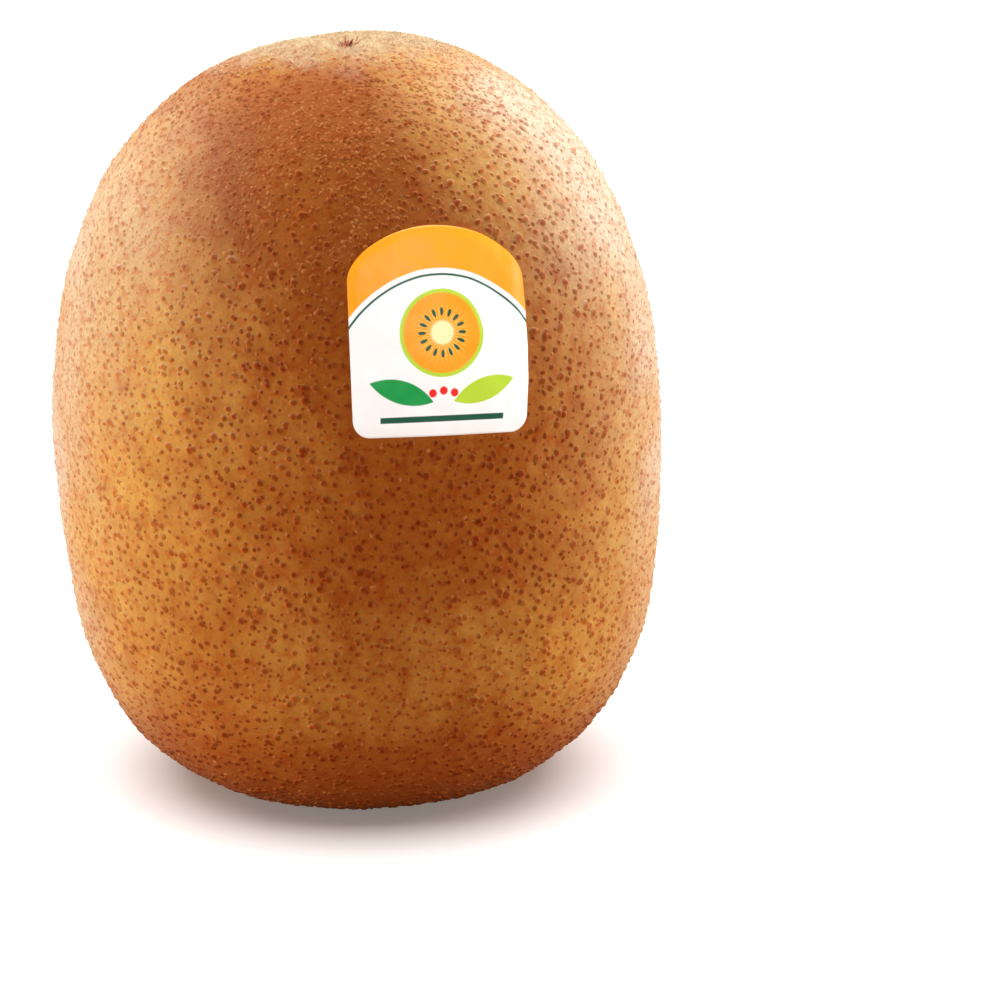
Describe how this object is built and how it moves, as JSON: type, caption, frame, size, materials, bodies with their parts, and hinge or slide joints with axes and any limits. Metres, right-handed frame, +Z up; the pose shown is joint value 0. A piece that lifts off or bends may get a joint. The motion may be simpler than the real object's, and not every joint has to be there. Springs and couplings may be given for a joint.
{
  "type": "golden kiwi fruit",
  "caption": "Whole golden kiwi fruit, a smooth-skinned brown-gold oval with raised speckles, a dried tuft on top and a small bent label, standing on its stem end",
  "frame": {"origin": "On the ground under the middle of the fruit, at the bottom centre of its box", "axes": "+Z points up from the stem end to the blossom end, -Y is the front with the label and +X is to the right seen from the front"},
  "size_m": [0.0553, 0.0525, 0.0688],
  "materials": {
    "skin": "thin matt fruit skin, golden brown with red-brown raised speckles and a soft bloom",
    "film": null
  },
  "bodies": {
    "root": {"fruit": "skin", "label": "film"}
  },
  "joints": []
}
